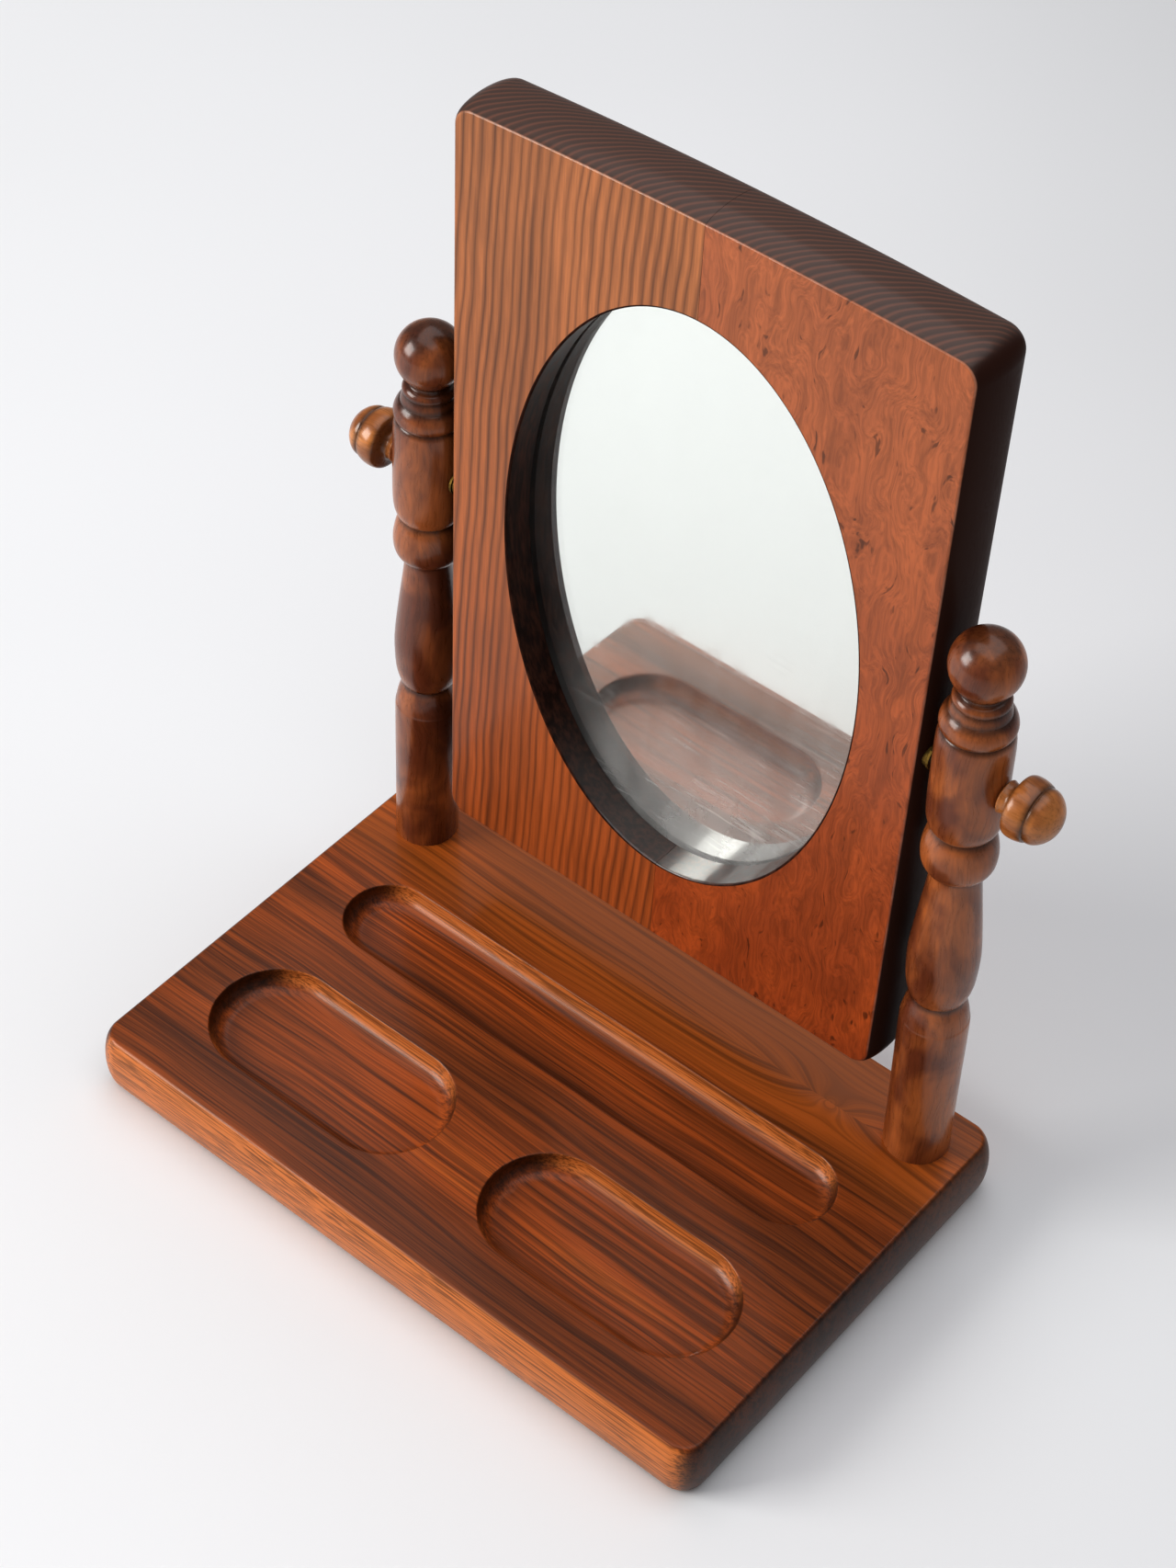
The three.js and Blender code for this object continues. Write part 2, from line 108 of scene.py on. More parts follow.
class Graph:
    """A material's node tree, built with short calls. Any input takes a value or another node's output."""

    def __init__(self, name):
        self.material = bpy.data.materials.new(name)
        self.material.use_nodes = True
        self.tree = self.material.node_tree
        self.tree.nodes.clear()
        place = self.node("ShaderNodeTexCoord")
        self.point = self.vector("SCALE", place.outputs["Object"], scale=1 / MM)
        self.normal = self.split(place.outputs["Normal"])
        self.x, self.y, self.z = self.split(self.point)

    def node(self, kind, inputs=(), **settings):
        made = self.tree.nodes.new(kind)
        for key, value in settings.items():
            setattr(made, key, value)
        for key, value in dict(inputs).items():
            self.feed(made.inputs[key], value)
        return made

    def feed(self, socket, value):
        if isinstance(value, bpy.types.NodeSocket):
            self.tree.links.new(value, socket)
        else:
            socket.default_value = value

    def split(self, vector):
        return list(self.node("ShaderNodeSeparateXYZ", {0: vector}).outputs)

    def join(self, x, y, z):
        return self.node("ShaderNodeCombineXYZ", {0: x, 1: y, 2: z}).outputs[0]

    def math(self, operation, a, b=0.0, c=0.0):
        return self.node("ShaderNodeMath", {0: a, 1: b, 2: c}, operation=operation).outputs[0]

    def vector(self, operation, a, b=(0, 0, 0), scale=1.0):
        made = self.node("ShaderNodeVectorMath", {0: a, 1: b, 3: scale}, operation=operation)
        return made.outputs[0]

    def stretch(self, point, rates):
        """The point with each axis multiplied by its rate, so that a noise gets that many features per mm."""
        return self.vector("MULTIPLY", point, rates)

    def noise(self, vector, detail=2.0, roughness=0.5, distortion=0.0):
        inputs = {"Vector": vector, "Scale": 1.0, "Detail": detail, "Roughness": roughness}
        inputs["Distortion"] = distortion
        return self.node("ShaderNodeTexNoise", inputs).outputs["Fac"]

    def ramp(self, factor, *stops):
        """A grey value that follows (position, value) stops."""
        made = self.node("ShaderNodeValToRGB", {0: factor})
        made.color_ramp.interpolation = "EASE"
        elements = made.color_ramp.elements
        while len(elements) < len(stops):
            elements.new(1.0)
        for element, (position, value) in zip(elements, stops):
            element.position = position
            element.color = (value, value, value, 1.0)
        return made.outputs[0]

    def mix(self, factor, a, b, blend="MIX"):
        made = self.node("ShaderNodeMix", data_type="RGBA", blend_type=blend)
        self.feed(made.inputs[0], factor)
        self.feed(made.inputs[6], a)
        self.feed(made.inputs[7], b)
        return made.outputs[2]

    def shade(self, tint, amount):
        """The colour times a grey value."""
        return self.mix(1.0, tint, self.join(amount, amount, amount), "MULTIPLY")

    def bump(self, height, depth, strength=1.0):
        inputs = {"Height": height, "Distance": depth * MM, "Strength": strength}
        return self.node("ShaderNodeBump", inputs).outputs[0]

    def principled(self, **inputs):
        names = {key.replace("_", " ").title().replace("Ior", "IOR"): value for key, value in inputs.items()}
        return self.node("ShaderNodeBsdfPrincipled", names).outputs[0]

    def finish(self, shader):
        self.node("ShaderNodeOutputMaterial", {0: shader})
        return self.material


# Wood

GRAIN_AXES = {"X": 0, "Z": 2}
KNOT_PLACE = (86.0, 62.0)
KNOT_SQUASH = 0.45
KNOT_REACH = 9.0
KNOT_PUSH = 16.0
DARK_STREAK_AT = -72.0
DARK_STREAK_WIDTH = 14.0
STRIPE_LEAN = 0.085
STRIPE_SKEW = 0.9
STRIPE_WANDER = 7.0
SEASON_RATE = 0.12
SEASON_SHIFT = 1.4
WIDE_STRIPE = 9.0
NARROW_STRIPE = 4.0
STRIPES_NARROW_AT = 30.0
FIGURE_FADES_BY = 90.0
RING_PITCH = 3.6
RING_LEAN = 0.9
RING_BOW = -0.012
RING_SPREAD = 2.5
FIBRE_RELIEF = 0.05
CAP_RAGGEDNESS = 9.0
CAP_BLUR = 4.0


def along_grain(grain, along, across):
    """Noise rates per millimetre, along the grain and across it."""
    rates = [across, across, across]
    rates[GRAIN_AXES[grain]] = along
    return rates


def streaks(graph, grain, along, across, detail=3.0, start=0.0, point=None):
    """Noise drawn out along the grain, from 0 to 1. Another start gives another pattern."""
    stretched = graph.stretch(point or graph.point, along_grain(grain, along, across))
    return graph.noise(graph.vector("ADD", stretched, (start, start, start)), detail, 0.6)


def swayed(graph, rates, sway, start=0.0):
    """The point pushed sideways by a slow noise, so that straight streaks drawn on it wander together."""
    slow = graph.vector("ADD", graph.stretch(graph.point, rates), (start, start, start))
    push = graph.math("MULTIPLY", graph.math("SUBTRACT", graph.noise(slow, 2.0), 0.5), sway)
    return graph.vector("ADD", graph.point, graph.join(push, push, 0.0))


def lacquered(graph, tint, fibre, roughness, coat, shine=0.4):
    """Wood under a worn satin lacquer: the fibres show a little in the gloss and in the relief."""
    gloss = graph.math("MULTIPLY_ADD", graph.math("SUBTRACT", fibre, 0.5), 0.3, roughness)
    return graph.finish(graph.principled(
        base_color=tint, roughness=gloss, normal=graph.bump(fibre, FIBRE_RELIEF, 0.5),
        coat_weight=coat, coat_roughness=0.14, specular_ior_level=shine,
    ))


def tray_wood():
    """Fine straight lines along the tray, with dark streaks gathered in bands and a knot at the back."""
    graph = Graph("tray_wood")
    east, north = (graph.math("SUBTRACT", axis, at) for axis, at in zip((graph.x, graph.y), KNOT_PLACE))
    squash = graph.math("MULTIPLY", east, KNOT_SQUASH)
    reach = graph.math("SQRT", graph.math("ADD", graph.math("MULTIPLY", squash, squash),
                                          graph.math("MULTIPLY", north, north)))
    near_knot = graph.math("EXPONENT", graph.math("DIVIDE", reach, -KNOT_REACH))
    push = graph.math("MULTIPLY", graph.math("SIGN", north), graph.math("MULTIPLY", near_knot, KNOT_PUSH))
    bent = graph.vector("ADD", swayed(graph, (0.006, 0.02, 0.02), 14.0), graph.join(0.0, push, 0.0))
    band = streaks(graph, "X", 0.0035, 0.03, 3.0, 4.0, bent)
    line = streaks(graph, "X", 0.004, 0.42, 3.0, 0.0, bent)
    hair = streaks(graph, "X", 0.02, 1.5, 3.0, 9.0, bent)
    tint = graph.mix(graph.ramp(band, (0.38, 0.0), (0.62, 1.0)), colour("71370f"), colour("9a4b16"))
    tint = graph.mix(graph.ramp(band, (0.6, 0.0), (0.78, 0.7)), tint, colour("b8651f"))
    tint = graph.shade(tint, graph.ramp(line, (0.36, 0.56), (0.56, 1.12)))
    tint = graph.shade(tint, graph.ramp(hair, (0.34, 0.6), (0.6, 1.18)))
    from_streak = graph.math("SUBTRACT", graph.y, DARK_STREAK_AT)
    front_band = graph.math("ABSOLUTE", graph.math("DIVIDE", from_streak, DARK_STREAK_WIDTH))
    tint = graph.shade(tint, graph.ramp(front_band, (0.0, 0.75), (1.0, 1.0)))
    low, high = millimetres("base_board")
    rightwards = graph.math("DIVIDE", graph.math("SUBTRACT", graph.x, low.x), high.x - low.x)
    backwards = graph.math("DIVIDE", graph.math("SUBTRACT", graph.y, low.y), high.y - low.y)
    # Painted light: the tray is lighter at its left end, towards the window, and darker towards the right.
    tint = graph.shade(tint, graph.ramp(rightwards, (0.0, 1.25), (0.55, 1.0), (1.0, 0.82)))
    tint = graph.mix(graph.ramp(backwards, (0.66, 0.0), (0.8, 0.45)), tint, graph.shade(
        colour("b8641f"), graph.ramp(line, (0.3, 0.6), (0.6, 1.1))))
    upright = graph.math("ABSOLUTE", graph.normal[1])
    tint = graph.mix(graph.ramp(upright, (0.45, 0.0), (0.85, 0.8)), tint, graph.shade(
        colour("cb7a3c"), graph.ramp(hair, (0.38, 0.45), (0.58, 1.15))))
    # Painted highlight: a pale line along the tray's front arris, broken into patches, stands in for the
    # glint on the edge.
    arris_highlight = graph.ramp(graph.normal[1], (-0.9, 0.0), (-0.75, 0.45), (-0.55, 0.45), (-0.35, 0.0))
    patches = graph.noise(graph.stretch(graph.point, (0.02, 0.02, 0.02)), 2.0)
    patchy = graph.ramp(patches, (0.4, 0.2), (0.6, 1.0))
    tint = graph.mix(graph.math("MULTIPLY", arris_highlight, patchy), tint, colour("b79f92"))
    # The ends are darker: end grain takes more stain, and painted shade deepens it.
    end_grain_and_shade = graph.ramp(graph.math("ABSOLUTE", graph.normal[0]), (0.3, 1.0), (0.8, 0.28))
    return lacquered(graph, graph.shade(tint, end_grain_and_shade), hair, 0.4, 0.16, shine=0.3)


def striped_wood():
    """Dark straight stripes, wide apart at the outer edge and close together towards the glue line."""
    graph = Graph("striped_wood")
    outer_edge = millimetres("frame_left_board")[0].x
    bottom = millimetres("frame_left_board")[0].z
    height = graph.math("SUBTRACT", graph.z, bottom)
    wander = streaks(graph, "Z", 0.012, 0.012, 2.0)
    across = graph.math("SUBTRACT", graph.math("SUBTRACT", graph.x, outer_edge), graph.math(
        "MULTIPLY", height, STRIPE_LEAN))
    across = graph.math("MULTIPLY_ADD", graph.y, STRIPE_SKEW, across)
    across = graph.math("MULTIPLY_ADD", graph.math("SUBTRACT", wander, 0.5), STRIPE_WANDER, across)
    narrow = graph.math("SMOOTH_MAX", graph.math("SUBTRACT", across, STRIPES_NARROW_AT), 0.0, 8.0)
    phase = graph.math("MULTIPLY", narrow, 1 / NARROW_STRIPE - 1 / WIDE_STRIPE)
    phase = graph.math("MULTIPLY_ADD", across, 1 / WIDE_STRIPE, phase)
    seasons = graph.noise(graph.join(graph.math("MULTIPLY", across, SEASON_RATE), 0.0, 0.0), 2.0)
    phase = graph.math("MULTIPLY_ADD", seasons, SEASON_SHIFT, phase)
    stripe = graph.ramp(
        graph.math("FRACT", phase),
        (0.0, 0.4), (0.15, 0.1), (0.45, 0.0), (0.68, 0.5), (0.82, 0.9), (1.0, 0.4),
    )
    fibre = streaks(graph, "Z", 0.03, 1.3, 4.0)
    broad = streaks(graph, "Z", 0.006, 0.035, 2.0, 5.0)
    bold = graph.ramp(streaks(graph, "Z", 0.01, 0.08, 2.0, 3.0), (0.3, 0.7), (0.7, 1.0))
    depth = graph.math("MULTIPLY", graph.math("MULTIPLY", stripe, bold), graph.ramp(
        graph.math("DIVIDE", across, FIGURE_FADES_BY), (0.1, 1.0), (1.0, 0.75)))
    # Painted sheen: the face tint grows paler towards the top of the frame.
    pale = upward_painted_sheen(graph, "ab5826", "b87444")
    tint = graph.mix(depth, pale, colour("482413"))
    tint = graph.shade(tint, graph.ramp(broad, (0.32, 0.82), (0.68, 1.08)))
    tint = graph.shade(tint, graph.ramp(fibre, (0.32, 0.86), (0.68, 1.1)))
    gloss = side_gloss(graph)
    return lacquered(graph, edge_stain_shade_and_highlight(graph, tint), fibre, 0.38, gloss, shine=gloss)


def figured_wood():
    """Wavy upright grain with swirls, cloudy patches and a few short dark marks."""
    graph = Graph("figured_wood")
    bent = swayed(graph, (0.04, 0.04, 0.022), 46.0)
    curls = graph.vector("SUBTRACT", swayed(graph, (0.09, 0.09, 0.045), 8.0, 3.0), graph.point)
    bent = graph.vector("ADD", bent, curls)
    figure = streaks(graph, "Z", 0.016, 0.24, 4.0, 2.0, bent)
    hair = streaks(graph, "Z", 0.035, 0.9, 4.0, 0.0, bent)
    clouds = graph.noise(graph.stretch(graph.point, (0.028, 0.028, 0.014)), 3.0, 0.6, 0.8)
    marks = streaks(graph, "Z", 0.08, 0.3, 2.0, 8.0, bent)
    # Painted sheen: both tints grow paler towards the top of the frame.
    pale = upward_painted_sheen(graph, "aa5021", "b0653c")
    cloudy = graph.ramp(clouds, (0.34, 0.75), (0.62, 0.0))
    tint = graph.mix(cloudy, pale, upward_painted_sheen(graph, "8e3f1a", "a25c38"))
    tint = graph.shade(tint, graph.ramp(figure, (0.36, 0.84), (0.58, 1.06)))
    tint = graph.shade(tint, graph.ramp(hair, (0.32, 0.82), (0.66, 1.12)))
    tint = graph.shade(tint, graph.ramp(marks, (0.27, 0.42), (0.36, 1.0)))
    gloss = side_gloss(graph)
    return lacquered(graph, edge_stain_shade_and_highlight(graph, tint), hair, 0.38, gloss, shine=gloss)


def top_edge_arcs(graph):
    """Growth rings cut across by the board's end: reddish diagonal arcs, from 0 to 1."""
    across = graph.math("MULTIPLY_ADD", graph.y, RING_LEAN, graph.x)
    bow = graph.math("MULTIPLY", graph.math("MULTIPLY", graph.y, graph.y), RING_BOW)
    spread = graph.noise(graph.stretch(graph.point, (0.03, 0.03, 0.03)), 2.0)
    ring = graph.math("DIVIDE", graph.math("ADD", across, bow), RING_PITCH)
    phase = graph.math("MULTIPLY_ADD", spread, RING_SPREAD, ring)
    return graph.ramp(graph.math("FRACT", phase), (0.0, 0.1), (0.35, 0.0), (0.7, 0.6), (1.0, 0.1))


def well_wood():
    """The sawn wall of the oval opening: end and side grain stained almost black, under thick lacquer."""
    graph = Graph("well_wood")
    fibre = streaks(graph, "Z", 0.08, 0.5, 4.0)
    tint = graph.mix(graph.ramp(fibre, (0.35, 0.0), (0.7, 1.0)), colour("26140f"), colour("4d2c20"))
    facing_up = graph.ramp(graph.normal[2], (0.45, 0.03), (0.9, 1.0))
    return lacquered(graph, tint, fibre, 0.35, facing_up, shine=facing_up)


def upward_painted_sheen(graph, low_tint, high_tint):
    """Redder near the tray and paler towards the top of the mirror frame: painted sheen, the glare on the
    upper frame put into the colour.
    """
    low, high = millimetres("frame_right_board")
    share = graph.math("DIVIDE", graph.math("SUBTRACT", graph.z, low.z), high.z - low.z)
    return graph.mix(graph.ramp(share, (0.0, 0.0), (1.0, 1.0)), colour(low_tint), colour(high_tint))


def side_gloss(graph):
    """The frame's upright sides were never rubbed up, so they hardly shine."""
    return graph.ramp(graph.math("ABSOLUTE", graph.normal[0]), (0.4, 0.24), (0.8, 0.02))


def edge_stain_shade_and_highlight(graph, face_tint):
    """The frame's cut edges drank more stain than its faces. Over the stain, the upward top edge is painted
    lighter and greyer as a painted sheen, the sideways edges are painted darker as shade, and a pale painted
    highlight runs in patches along the front arris.
    """
    facing = graph.math("ABSOLUTE", graph.normal[1])
    # Painted sheen on the upward top edge, which is lighter and greyer, and painted shade on the sideways
    # edges, which are darker, over the real stain.
    top_tint = graph.mix(top_edge_arcs(graph), colour("4a3932"), colour("7b5040"))
    sideways = graph.math("ABSOLUTE", graph.normal[0])
    edge_tint = graph.mix(graph.ramp(sideways, (0.3, 0.0), (0.7, 1.0)), top_tint, colour("38211a"))
    tint = graph.mix(graph.ramp(facing, (0.6, 0.0), (0.8, 1.0)), edge_tint, face_tint)
    cloud = graph.noise(graph.stretch(graph.point, (0.09, 0.09, 0.09)), 3.0)
    patches = graph.ramp(cloud, (0.35, 0.2), (0.6, 1.0))
    # Painted highlight: a pale line along the front arris, in patches.
    frontwards = graph.math("MULTIPLY", graph.normal[1], -1.0)
    arris_highlight = graph.ramp(frontwards, (0.6, 0.0), (0.72, 0.35), (0.85, 0.35), (0.95, 0.0))
    return graph.mix(graph.math("MULTIPLY", arris_highlight, patches), tint, colour("b98f7c"))


def dark_bands(graph, height, centres, width):
    """Dark where the height is close to a groove: stain gathered there, and painted shade deepens it."""
    shade = 1.0
    for centre in centres:
        distance = graph.math("DIVIDE", graph.math("ABSOLUTE", graph.math("SUBTRACT", height, centre)), width)
        shade = graph.math("MULTIPLY", shade, graph.ramp(distance, (0.0, 0.34), (1.0, 1.0)))
    return shade


def ragged_cap(graph, rise, cap_height):
    """Dark above the cap height, with an uneven edge."""
    blots = graph.noise(graph.stretch(graph.point, (0.16, 0.16, 0.16)), 3.0)
    ragged = graph.math("MULTIPLY_ADD", blots, CAP_RAGGEDNESS, rise)
    over_cap = graph.math("DIVIDE", graph.math("SUBTRACT", ragged, cap_height + CAP_RAGGEDNESS / 2), CAP_BLUR)
    return graph.ramp(over_cap, (0.0, 1.0), (1.0, 0.42))


def turned_wood(name, pale, dark, height, grooves, grain, cap_height=None):
    """Close grain with golden patches and dark grooves, and a dark cap of end grain above cap_height."""
    graph = Graph(name)
    bent = swayed(graph, (0.05, 0.05, 0.03), 8.0)
    fibre = streaks(graph, grain, 0.05, 0.7, 4.0, 0.0, bent)
    patches = graph.noise(graph.stretch(graph.point, along_grain(grain, 0.03, 0.055)), 3.0, 0.55, 0.5)
    tint = graph.mix(graph.ramp(patches, (0.36, 0.0), (0.66, 1.0)), colour(dark), colour(pale))
    tint = graph.shade(tint, graph.ramp(fibre, (0.3, 0.8), (0.7, 1.12)))
    rise = height(graph)
    # Grooves darkened: stain, and painted shade in the groove.
    tint = graph.shade(tint, dark_bands(graph, rise, grooves, GROOVE_DARKENING_WIDTH))
    if cap_height is not None:
        tint = graph.shade(tint, ragged_cap(graph, rise, cap_height))
    return lacquered(graph, tint, fibre, 0.3, 0.35)


# Metal, glass, hardboard, felt and the table

FLOOR_SHADE_REACH = 1000.0


def brushed_metal(name, tint, roughness):
    graph = Graph(name)
    grime = graph.noise(graph.stretch(graph.point, (0.6, 0.6, 0.6)), 4.0, 0.6)
    patchy = graph.math("MULTIPLY_ADD", grime, 0.25, roughness)
    base = graph.shade(colour(tint), graph.ramp(grime, (0.3, 0.75), (0.7, 1.05)))
    return graph.finish(graph.principled(base_color=base, metallic=1.0, roughness=patchy))


def clear_glass():
    graph = Graph("clear_glass")
    low, high = millimetres("mirror_glass")
    share = graph.math("DIVIDE", graph.math("SUBTRACT", graph.z, low.z), high.z - low.z)
    rightwards = graph.math("DIVIDE", graph.math("SUBTRACT", graph.x, pivot().x), high.x - low.x)
    wiped = graph.math("SUBTRACT", share, graph.math("MULTIPLY", rightwards, 0.35))
    dust = graph.noise(graph.stretch(graph.point, (0.06, 0.06, 0.02)), 4.0, 0.6)
    scratch = streaks(graph, "X", 0.04, 0.35, 3.0)
    film = graph.ramp(wiped, (0.0, 0.24), (0.5, 0.02))
    film = graph.math("MULTIPLY", film, graph.ramp(dust, (0.3, 0.7), (0.7, 1.2)))
    film = graph.math("MULTIPLY", film, graph.ramp(scratch, (0.55, 1.0), (0.72, 1.6)))
    glass = graph.principled(base_color=colour("f7faf8"), roughness=0.0, transmission_weight=1.0, ior=1.52)
    dusty = graph.principled(base_color=colour("fbfbf9"), roughness=0.7)
    return graph.finish(graph.node("ShaderNodeMixShader", {0: film, 1: glass, 2: dusty}).outputs[0])


def silvering():
    graph = Graph("silvering")
    spots = graph.noise(graph.stretch(graph.point, (0.12, 0.12, 0.12)), 4.0)
    haze = graph.ramp(spots, (0.4, 0.015), (0.8, 0.05))
    return graph.finish(graph.principled(base_color=colour("f4f5f3"), metallic=1.0, roughness=haze))


def hardboard():
    graph = Graph("hardboard")
    pulp = graph.noise(graph.stretch(graph.point, (0.9, 0.9, 0.9)), 6.0, 0.7)
    tint = graph.mix(graph.ramp(pulp, (0.35, 0.0), (0.65, 1.0)), colour("5c4129"), colour("8a6844"))
    return graph.finish(graph.principled(base_color=tint, roughness=0.85, normal=graph.bump(pulp, 0.15)))


def felt():
    graph = Graph("felt")
    wool = graph.noise(graph.stretch(graph.point, (1.6, 1.6, 1.6)), 8.0, 0.8)
    tint = graph.mix(wool, colour("1f3526"), colour("3f5f48"))
    shader = graph.principled(
        base_color=tint, roughness=1.0, sheen_weight=0.6, sheen_roughness=0.5, normal=graph.bump(wool, 0.3))
    return graph.finish(shader)


def table_top():
    graph = Graph("table_top")
    cloud = graph.noise(graph.stretch(graph.point, (0.002, 0.002, 0.002)), 2.0)
    tint = graph.shade(colour("ecedee"), graph.ramp(cloud, (0.3, 0.97), (0.7, 1.0)))
    # Painted shade: the table darkens towards the back and the right, away from the window.
    away = graph.math("DIVIDE", graph.math("ADD", graph.x, graph.y), FLOOR_SHADE_REACH)
    tint = graph.shade(tint, graph.ramp(away, (0.1, 1.0), (1.0, 0.78)))
    return graph.finish(graph.principled(base_color=tint, roughness=0.6))


# Outlines: closed lists of (x, y) in millimetres, anticlockwise

ARC_STEPS = 20
OVAL_STEPS = 192


def arc(centre_x, centre_y, radius, start, stop, steps=ARC_STEPS):
    angles = [math.radians(start + (stop - start) * i / steps) for i in range(steps + 1)]
    return [(centre_x + radius * math.cos(a), centre_y + radius * math.sin(a)) for a in angles]


def rounded_rectangle(low, high, radius):
    return (
        arc(high[0] - radius, high[1] - radius, radius, 0, 90)
        + arc(low[0] + radius, high[1] - radius, radius, 90, 180)
        + arc(low[0] + radius, low[1] + radius, radius, 180, 270)
        + arc(high[0] - radius, low[1] + radius, radius, 270, 360)
    )


def stadium(centre_x, centre_y, length, width):
    radius = width / 2
    reach = length / 2 - radius
    steps = 3 * ARC_STEPS
    return (
        arc(centre_x + reach, centre_y, radius, -90, 90, steps)
        + arc(centre_x - reach, centre_y, radius, 90, 270, steps)
    )


def oval(half_width, half_height, raise_by):
    turns = [2 * math.pi * i / OVAL_STEPS for i in range(OVAL_STEPS)]
    return [(half_width * math.cos(t), raise_by + half_height * math.sin(t)) for t in turns]


def offset(outline, inset):
    """The outline moved inwards by inset, each point along the mean of its two sides' normals."""
    moved = []
    count = len(outline)
    for i, here in enumerate(outline):
        point = Vector(here)
        before = (point - Vector(outline[i - 1])).normalized()
        after = (Vector(outline[(i + 1) % count]) - point).normalized()
        tangent = (before + after).normalized()
        inward = Vector((-tangent.y, tangent.x))
        moved.append(tuple(point + inward * inset / max(tangent.dot(after), 0.5)))
    return moved


def quarter(radius, steps=6):
    """(inset, drop) pairs of a quarter round, from a level face out to an upright side."""
    angles = [math.radians(90 * i / steps) for i in range(steps + 1)]
    return [(radius * (1 - math.sin(a)), radius * (1 - math.cos(a))) for a in angles]


# Meshes

SHARP_ANGLE = math.radians(40)
MERGE_DISTANCE = 1e-7


class Solid:
    """A closed mesh built from rings of points, with planar faces filled between them."""

    def __init__(self, to_row=Matrix.Identity(4)):
        self.mesh = bmesh.new()
        self.to_row = to_row

    def ring(self, outline, level):
        places = [self.to_row @ Vector((x, y, level)) * MM for x, y in outline]
        return [self.mesh.verts.new(place) for place in places]

    def bridge(self, first, second):
        count = len(first)
        for i in range(count):
            j = (i + 1) % count
            self.mesh.faces.new((first[i], first[j], second[j], second[i]))

    def stack(self, outline, profile):
        """Rings of the outline at (inset, level) pairs, joined in order. Returns the first and last ring."""
        rings = [self.ring(offset(outline, inset), level) for inset, level in profile]
        for first, second in zip(rings, rings[1:]):
            self.bridge(first, second)
        return rings[0], rings[-1]

    def fill(self, *rings):
        edges = []
        for ring in rings:
            pairs = zip(ring, ring[1:] + ring[:1])
            edges += [self.mesh.edges.get(pair) or self.mesh.edges.new(pair) for pair in pairs]
        bmesh.ops.triangle_fill(self.mesh, edges=edges, use_beauty=True)

    def piece(self, name, materials):
        bmesh.ops.remove_doubles(self.mesh, verts=self.mesh.verts, dist=MERGE_DISTANCE)
        bmesh.ops.recalc_face_normals(self.mesh, faces=self.mesh.faces)
        data = bpy.data.meshes.new(name)
        self.mesh.to_mesh(data)
        self.mesh.free()
        return object_from(data, name, materials)


def object_from(data, name, materials):
    data.shade_smooth()
    data.set_sharp_from_angle(angle=SHARP_ANGLE)
    for material in materials:
        data.materials.append(material)
    made = bpy.data.objects.new(name, data)
    bpy.context.scene.collection.objects.link(made)
    weighted = made.modifiers.new("weighted_normals", "WEIGHTED_NORMAL")
    weighted.keep_sharp = True
    return made


def place(piece, node, body, slot):
    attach(piece, body)
    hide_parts(node)


LATHE_STEPS = 96
BALL_STEPS = 28
RUN_STEPS = 5


def smooth_run(points):
    """A Catmull-Rom curve through the points of one run of a turning."""
    padded = [points[0], *points, points[-1]]
    curve = []
    for p0, p1, p2, p3 in zip(padded, padded[1:], padded[2:], padded[3:]):
        for i in range(RUN_STEPS):
            t = i / RUN_STEPS
            curve.append(tuple(
                b + 0.5 * t * (c - a + t * (2 * a - 5 * b + 4 * c - d + t * (3 * b - a - 3 * c + d)))
                for a, b, c, d in zip(p0, p1, p2, p3)
            ))
    return curve + [points[-1]]


def lathe(name, profile, to_row, material):
    """A turned solid, closed at both ends. The profile is (height, radius) along the axis."""
    mesh = bmesh.new()
    rings = []
    for height, radius in profile:
        turns = [2 * math.pi * i / LATHE_STEPS for i in range(LATHE_STEPS)]
        points = [Vector((radius * math.cos(t), radius * math.sin(t), height)) for t in turns]
        rings.append([mesh.verts.new(to_row @ point * MM) for point in points])
    for first, second in zip(rings, rings[1:]):
        for i in range(LATHE_STEPS):
            j = (i + 1) % LATHE_STEPS
            mesh.faces.new((first[i], first[j], second[j], second[i]))
    mesh.faces.new(rings[0])
    mesh.faces.new(rings[-1])
    bmesh.ops.recalc_face_normals(mesh, faces=mesh.faces)
    data = bpy.data.meshes.new(name)
    mesh.to_mesh(data)
    mesh.free()
    return object_from(data, name, [material])


# Holes along X: their radii, and how far each goes past the CAD node that sits in it
BOLT_BORE = 3.08
GLUED_BOLT_BORE = 3.05
HOLE_CLEARANCE = 0.3
INSERT_BORE = 4.55
INSERT_HOLE_EXTRA = 1.0
BORE_OUT = 5.0


def bore(piece, radius, low, high):
    """Cuts a round hole along X, and leaves no cutter behind."""
    along_x = Matrix.Translation((low + high) / 2 * MM) @ Matrix.Rotation(math.pi / 2, 4, "Y")
    mesh = bmesh.new()
    bmesh.ops.create_cone(
        mesh, cap_ends=True, segments=LATHE_STEPS, radius1=radius * MM, radius2=radius * MM,
        depth=(high - low).x * MM, matrix=along_x)
    data = bpy.data.meshes.new("bore")
    mesh.to_mesh(data)
    mesh.free()
    cutter = bpy.data.objects.new("bore", data)
    bpy.context.scene.collection.objects.link(cutter)
    cut = piece.modifiers.new("bore", "BOOLEAN")
    cut.operation = "DIFFERENCE"
    cut.solver = "EXACT"
    cut.object = cutter
    piece.modifiers.move(len(piece.modifiers) - 1, 0)
    with bpy.context.temp_override(object=piece):
        bpy.ops.object.modifier_apply(modifier=cut.name)
    bpy.data.objects.remove(cutter)
    piece.data.shade_smooth()
    piece.data.set_sharp_from_angle(angle=SHARP_ANGLE)


